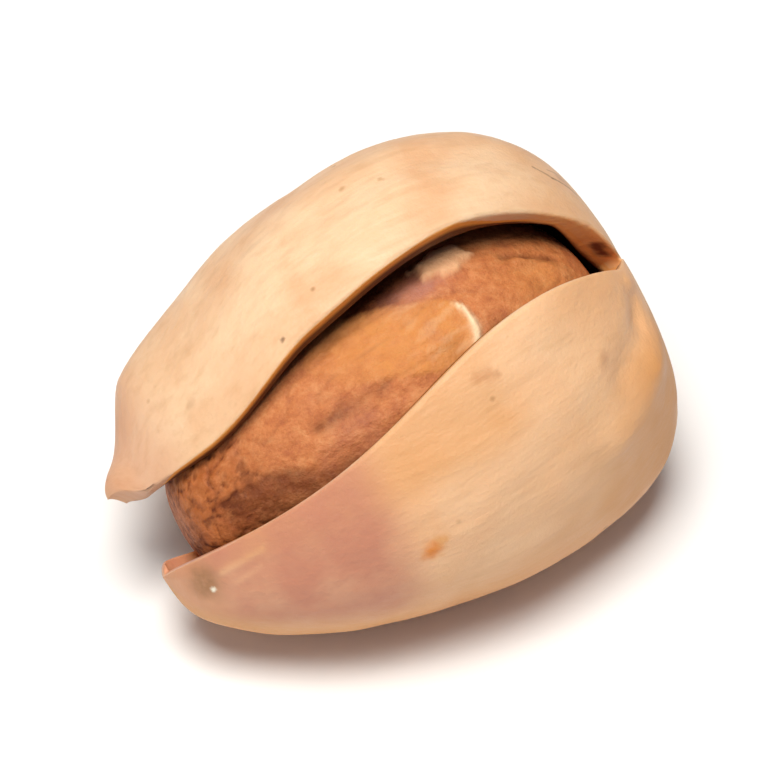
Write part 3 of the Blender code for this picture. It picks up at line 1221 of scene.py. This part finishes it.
    def _shred(self, plain: Array) -> tuple[Array, Array]:
        """The pale shred of dried membrane by the back valve.

        Args:
            plain: places on the kernel.

        Returns:
            How much each place belongs to the shred, and to the dark skin beside it.
        """
        offset = (plain - np.array(self.shred_place)) / np.array(self.shred_size)
        reach = np.linalg.norm(offset, axis=1) + 0.45 * lumps(plain, (0.6, 0.6, 0.6), 4, 81.0)
        beside = (plain - np.array(self.dark_place)) / np.array(self.dark_size)
        dark = np.linalg.norm(beside, axis=1) + 0.3 * lumps(plain, (0.7, 0.7, 0.7), 3, 83.0)
        return eased((1.1 - reach) / 0.4), eased((1.15 - dark) / 0.4)

    def _paint_zones(
        self, piece: Piece, plain: Array, along: Array, around: Array, creases: Array
    ) -> None:
        """Paint the golden layer, its torn rim, the shred, the dark membrane, the painted shade along the
        rims, under the arc and in the creases, and the tip.
        """
        inside, rim = self._gold(plain)
        shred, beside = self._shred(plain)
        stem_ridge = hump(along, 0.16, 0.09) * hump(around, 100.0, 14.0)
        golden = 0.86 * inside * (1.0 - 0.6 * eased((plain[:, 0] - 10.0) / 3.0))
        paint(piece, "gold", golden + 0.5 * stem_ridge)
        streaks = eased((lumps(plain, (0.8, 0.28, 0.28), 3, 86.0) - 0.16) / 0.3) * inside
        paint(piece, "torn", np.maximum(rim, 0.14 * streaks * eased((11.0 - plain[:, 0]) / 3.0)))
        paint(piece, "shred", shred)
        groove_shade = sum(fold.nearness(plain) * (fold.rise < 0.0) for fold in self.folds)
        away = (plain - np.array(self.mauve_place)) / np.array(self.mauve_size)
        paint(piece, "mauve", hump(np.linalg.norm(away, axis=1), 0.0, 0.9) * (1.0 - shred))
        # Painted shade: the skin darkens beside the back valve's rim, along the front valve's rim and under
        # the torn arc.
        by_back = eased((around - 119.0) / 8.0) * eased((along - 0.3) / 0.1) * eased((0.84 - along) / 0.1)
        limit = 70.0 + 13.0 * eased((along - 0.74) / 0.12)
        by_front = eased((limit - around) / 8.0) * eased((along - 0.5) / 0.12) * eased((0.97 - along) / 0.05)
        under_arc = hump(np.linalg.norm(plain - np.array(self.shade_place), axis=1), 0.0, 0.55)
        shaded = 0.8 * beside + 0.6 * by_back + 0.75 * by_front
        paint(piece, "membrane_and_shade", shaded * (1.0 - shred) + 0.7 * under_arc * (1.0 - inside))
        # Painted shade: the creases, the tip's pits and the sunken grooves are painted dark brown.
        paint(piece, "creases", creases * (0.35 + 0.6 * eased((along - 0.8) / 0.1)) + 0.7 * groove_shade)
        by_stem = 0.35 * eased((0.3 - along) / 0.15) * (1.0 - stem_ridge)
        paint(piece, "char", 0.75 * eased((along - 0.82) / 0.12) + by_stem)


# ---------------------------------------------------------------- studio


@dataclass(frozen=True)
class Softbox:
    """A square studio light that looks at the nut."""

    name: str
    azimuth: float
    elevation: float
    distance: float
    side: float
    brightness: float
    tint: str


@dataclass
class Studio:
    """The table, the lights and the camera."""

    azimuth: float = -31.7
    elevation: float = 50.0
    lens: float = 200.0
    frame_width: float = 26.5 * MM
    table_size: float = 3.0
    view_depth: float = 10.0
    sky: float = 0.1
    sky_tint: str = "#CCDEFF"
    finish: TableFinish = field(default_factory=TableFinish)
    lights: tuple[Softbox, ...] = (
        Softbox("key_softbox", -62.0, 80.0, 0.26, 0.13, 1.3, "#FFFBF5"),
        Softbox("fill_softbox", -50.0, 45.0, 0.40, 0.24, 0.08, "#E4EEFF"),
    )

    def build(self) -> None:
        """Set up the studio round the object."""
        low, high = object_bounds()
        middle = (low + high) / 2.0
        self._table(low.z)
        self._sky()
        for light in self.lights:
            self._softbox(light, middle)
        self._camera(middle)
        bpy.context.scene.view_settings.view_transform = "Standard"

    def _table(self, level: float) -> None:
        """A wide plain table top at the object's lowest point."""
        deselect_all()
        bpy.ops.mesh.primitive_plane_add(size=self.table_size, location=(0.0, 0.0, level))
        table = bpy.context.object
        table.name = "table_top"
        bpy.ops.object.transform_apply(location=True, rotation=True, scale=True)
        table.data.materials.append(self.finish.material())
        table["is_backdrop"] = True

    def _sky(self) -> None:
        """Even, faintly blue light from all round."""
        world = bpy.data.worlds.new("white_cove")
        bpy.context.scene.world = world
        world.use_nodes = True
        backdrop = world.node_tree.nodes["Background"]
        backdrop.inputs["Color"].default_value = linear(self.sky_tint)
        backdrop.inputs["Strength"].default_value = self.sky

    def _way(self, azimuth: float, elevation: float) -> Vector:
        """The unit direction from the object to a place seen at these angles, in degrees."""
        a, e = math.radians(azimuth), math.radians(elevation)
        return Vector((math.sin(a) * math.cos(e), -math.cos(a) * math.cos(e), math.sin(e)))

    def _softbox(self, light: Softbox, middle: Vector) -> None:
        """One square area light, bright enough to add its share to a white card at the object."""
        way = self._way(light.azimuth, light.elevation)
        lamp = bpy.data.lights.new(light.name, "AREA")
        lamp.shape = "SQUARE"
        lamp.size = light.side
        lamp.energy = light.brightness * math.pi**2 * light.distance**2
        lamp.color = linear(light.tint)[:3]
        holder = bpy.data.objects.new(light.name, lamp)
        bpy.context.scene.collection.objects.link(holder)
        holder.location = middle + way * light.distance
        holder.rotation_euler = way.to_track_quat("Z", "Y").to_euler()

    def _camera(self, middle: Vector) -> None:
        """A long lens that looks at the object's middle."""
        camera = bpy.data.cameras.new("camera")
        camera.lens = self.lens
        camera.clip_start = MM
        camera.clip_end = self.view_depth
        distance = self.frame_width * self.lens / camera.sensor_width
        way = self._way(self.azimuth, self.elevation)
        holder = bpy.data.objects.new("camera", camera)
        bpy.context.scene.collection.objects.link(holder)
        holder.location = middle + way * distance
        holder.rotation_euler = way.to_track_quat("Z", "Y").to_euler()
        bpy.context.scene.camera = holder


def main() -> None:
    """Build the pieces in order, then the studio, and report them."""
    logging.basicConfig(level=logging.INFO, format="%(name)s: %(message)s")
    pieces = [Shell().build(), Kernel().build()]
    for piece in pieces:
        LOG.info("%s: %d faces", piece.name, len(piece.data.polygons))
    Studio().build()


if __name__ == "__main__":
    main()
